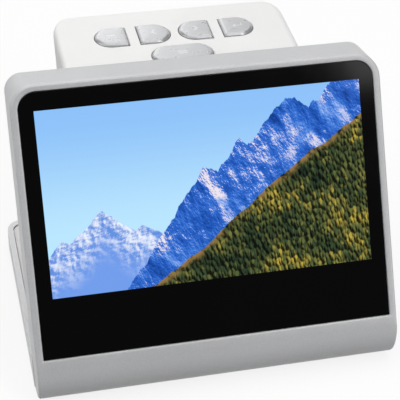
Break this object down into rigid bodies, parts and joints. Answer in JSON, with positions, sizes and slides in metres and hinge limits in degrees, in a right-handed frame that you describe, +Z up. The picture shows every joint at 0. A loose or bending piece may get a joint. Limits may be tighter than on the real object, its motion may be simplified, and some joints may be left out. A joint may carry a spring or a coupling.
{
  "type": "film negative scanner",
  "caption": "Desktop film scanner: leaning glass-fronted display, white body with push buttons on its level top, and a low tray base with a sliding film carrier.",
  "frame": {"origin": "on the table, under the middle of the object's bounding box", "axes": "+X to the right as seen from the front, -Y out of the front, where the display faces, +Z up"},
  "size_m": [0.1264, 0.1052, 0.0976],
  "materials": {
    "silver_shell": "satin silver",
    "button_silver": "satin silver",
    "white_shell": "satin",
    "cover_glass": "polished, black border",
    "tape": "matt",
    "lcd": "lit picture",
    "backlight": "milky",
    "light_box_white": "matt",
    "sheet_steel": "plain",
    "screw_steel": "dark zinc",
    "ribbon": "amber film",
    "board": "green lacquer",
    "led_board": "white lacquer",
    "chips": "matt",
    "led": "clear yellow",
    "switch_body": "matt",
    "black_plastic": "fine matt grain",
    "lens_glass": "polished, coated",
    "foot_rubber": "matt"
  },
  "bodies": {
    "casing": {"front_bezel": "silver_shell", "cover_glass": "cover_glass", "glass_tape": "tape", "lcd_screen": "lcd", "lcd_backlight": "backlight", "lcd_frame": "sheet_steel", "display_back": "silver_shell", "back_screws": "screw_steel", "chin_screws": "screw_steel", "display_flex": "ribbon", "body_shell": "white_shell", "shell_screws": "screw_steel", "roof_screws": "screw_steel", "tact_switches": "switch_body", "button_board": "board", "button_board_screws": "screw_steel", "scan_housing": "white_shell", "light_box": "light_box_white", "led_board": "led_board", "leds": "led", "diffuser": "backlight", "film_channel": "black_plastic", "detent_spring": "sheet_steel", "optical_tunnel": "black_plastic", "lens_holder": "black_plastic", "holder_screws": "screw_steel", "lens_barrel": "black_plastic", "lower_lens": "lens_glass", "upper_lens": "lens_glass", "sensor_board": "board", "image_sensor": "chips", "sensor_screws": "screw_steel", "sensor_flex": "ribbon", "main_board": "board", "main_chips": "chips", "data_power_socket": "sheet_steel", "video_socket": "sheet_steel", "memory_card_socket": "sheet_steel", "main_board_screws": "screw_steel", "deck_plate": "white_shell", "base_tray": "silver_shell", "base_screws": "screw_steel", "rubber_feet": "foot_rubber"},
    "left_end_button": {"button_left_end": "button_silver", "plunger_left_end": "black_plastic"},
    "left_inner_button": {"button_left_inner": "button_silver", "plunger_left_inner": "black_plastic"},
    "right_inner_button": {"button_right_inner": "button_silver", "plunger_right_inner": "black_plastic"},
    "right_end_button": {"button_right_end": "button_silver", "plunger_right_end": "black_plastic"},
    "oval_button": {"button_oval": "button_silver", "plunger_oval": "black_plastic"},
    "film_carrier": {"film_tray": "black_plastic", "tray_cover": "black_plastic"}
  },
  "joints": [
    {"name": "left_end_button_press", "type": "slide", "parent": "casing", "child": "left_end_button", "axis": [0, 0, -1], "range_m": [0, 0.001], "stiffness_N_per_m": 1000, "springref_m": -0.0008},
    {"name": "left_inner_button_press", "type": "slide", "parent": "casing", "child": "left_inner_button", "axis": [0, 0, -1], "range_m": [0, 0.001], "stiffness_N_per_m": 1000, "springref_m": -0.0008},
    {"name": "right_inner_button_press", "type": "slide", "parent": "casing", "child": "right_inner_button", "axis": [0, 0, -1], "range_m": [0, 0.001], "stiffness_N_per_m": 1000, "springref_m": -0.0008},
    {"name": "right_end_button_press", "type": "slide", "parent": "casing", "child": "right_end_button", "axis": [0, 0, -1], "range_m": [0, 0.001], "stiffness_N_per_m": 1000, "springref_m": -0.0008},
    {"name": "oval_button_press", "type": "slide", "parent": "casing", "child": "oval_button", "axis": [0, 0, -1], "range_m": [0, 0.001], "stiffness_N_per_m": 1000, "springref_m": -0.0008},
    {"name": "film_carrier_slide", "type": "slide", "parent": "casing", "child": "film_carrier", "axis": [1, 0, 0], "range_m": [0, 0.07]}
  ]
}
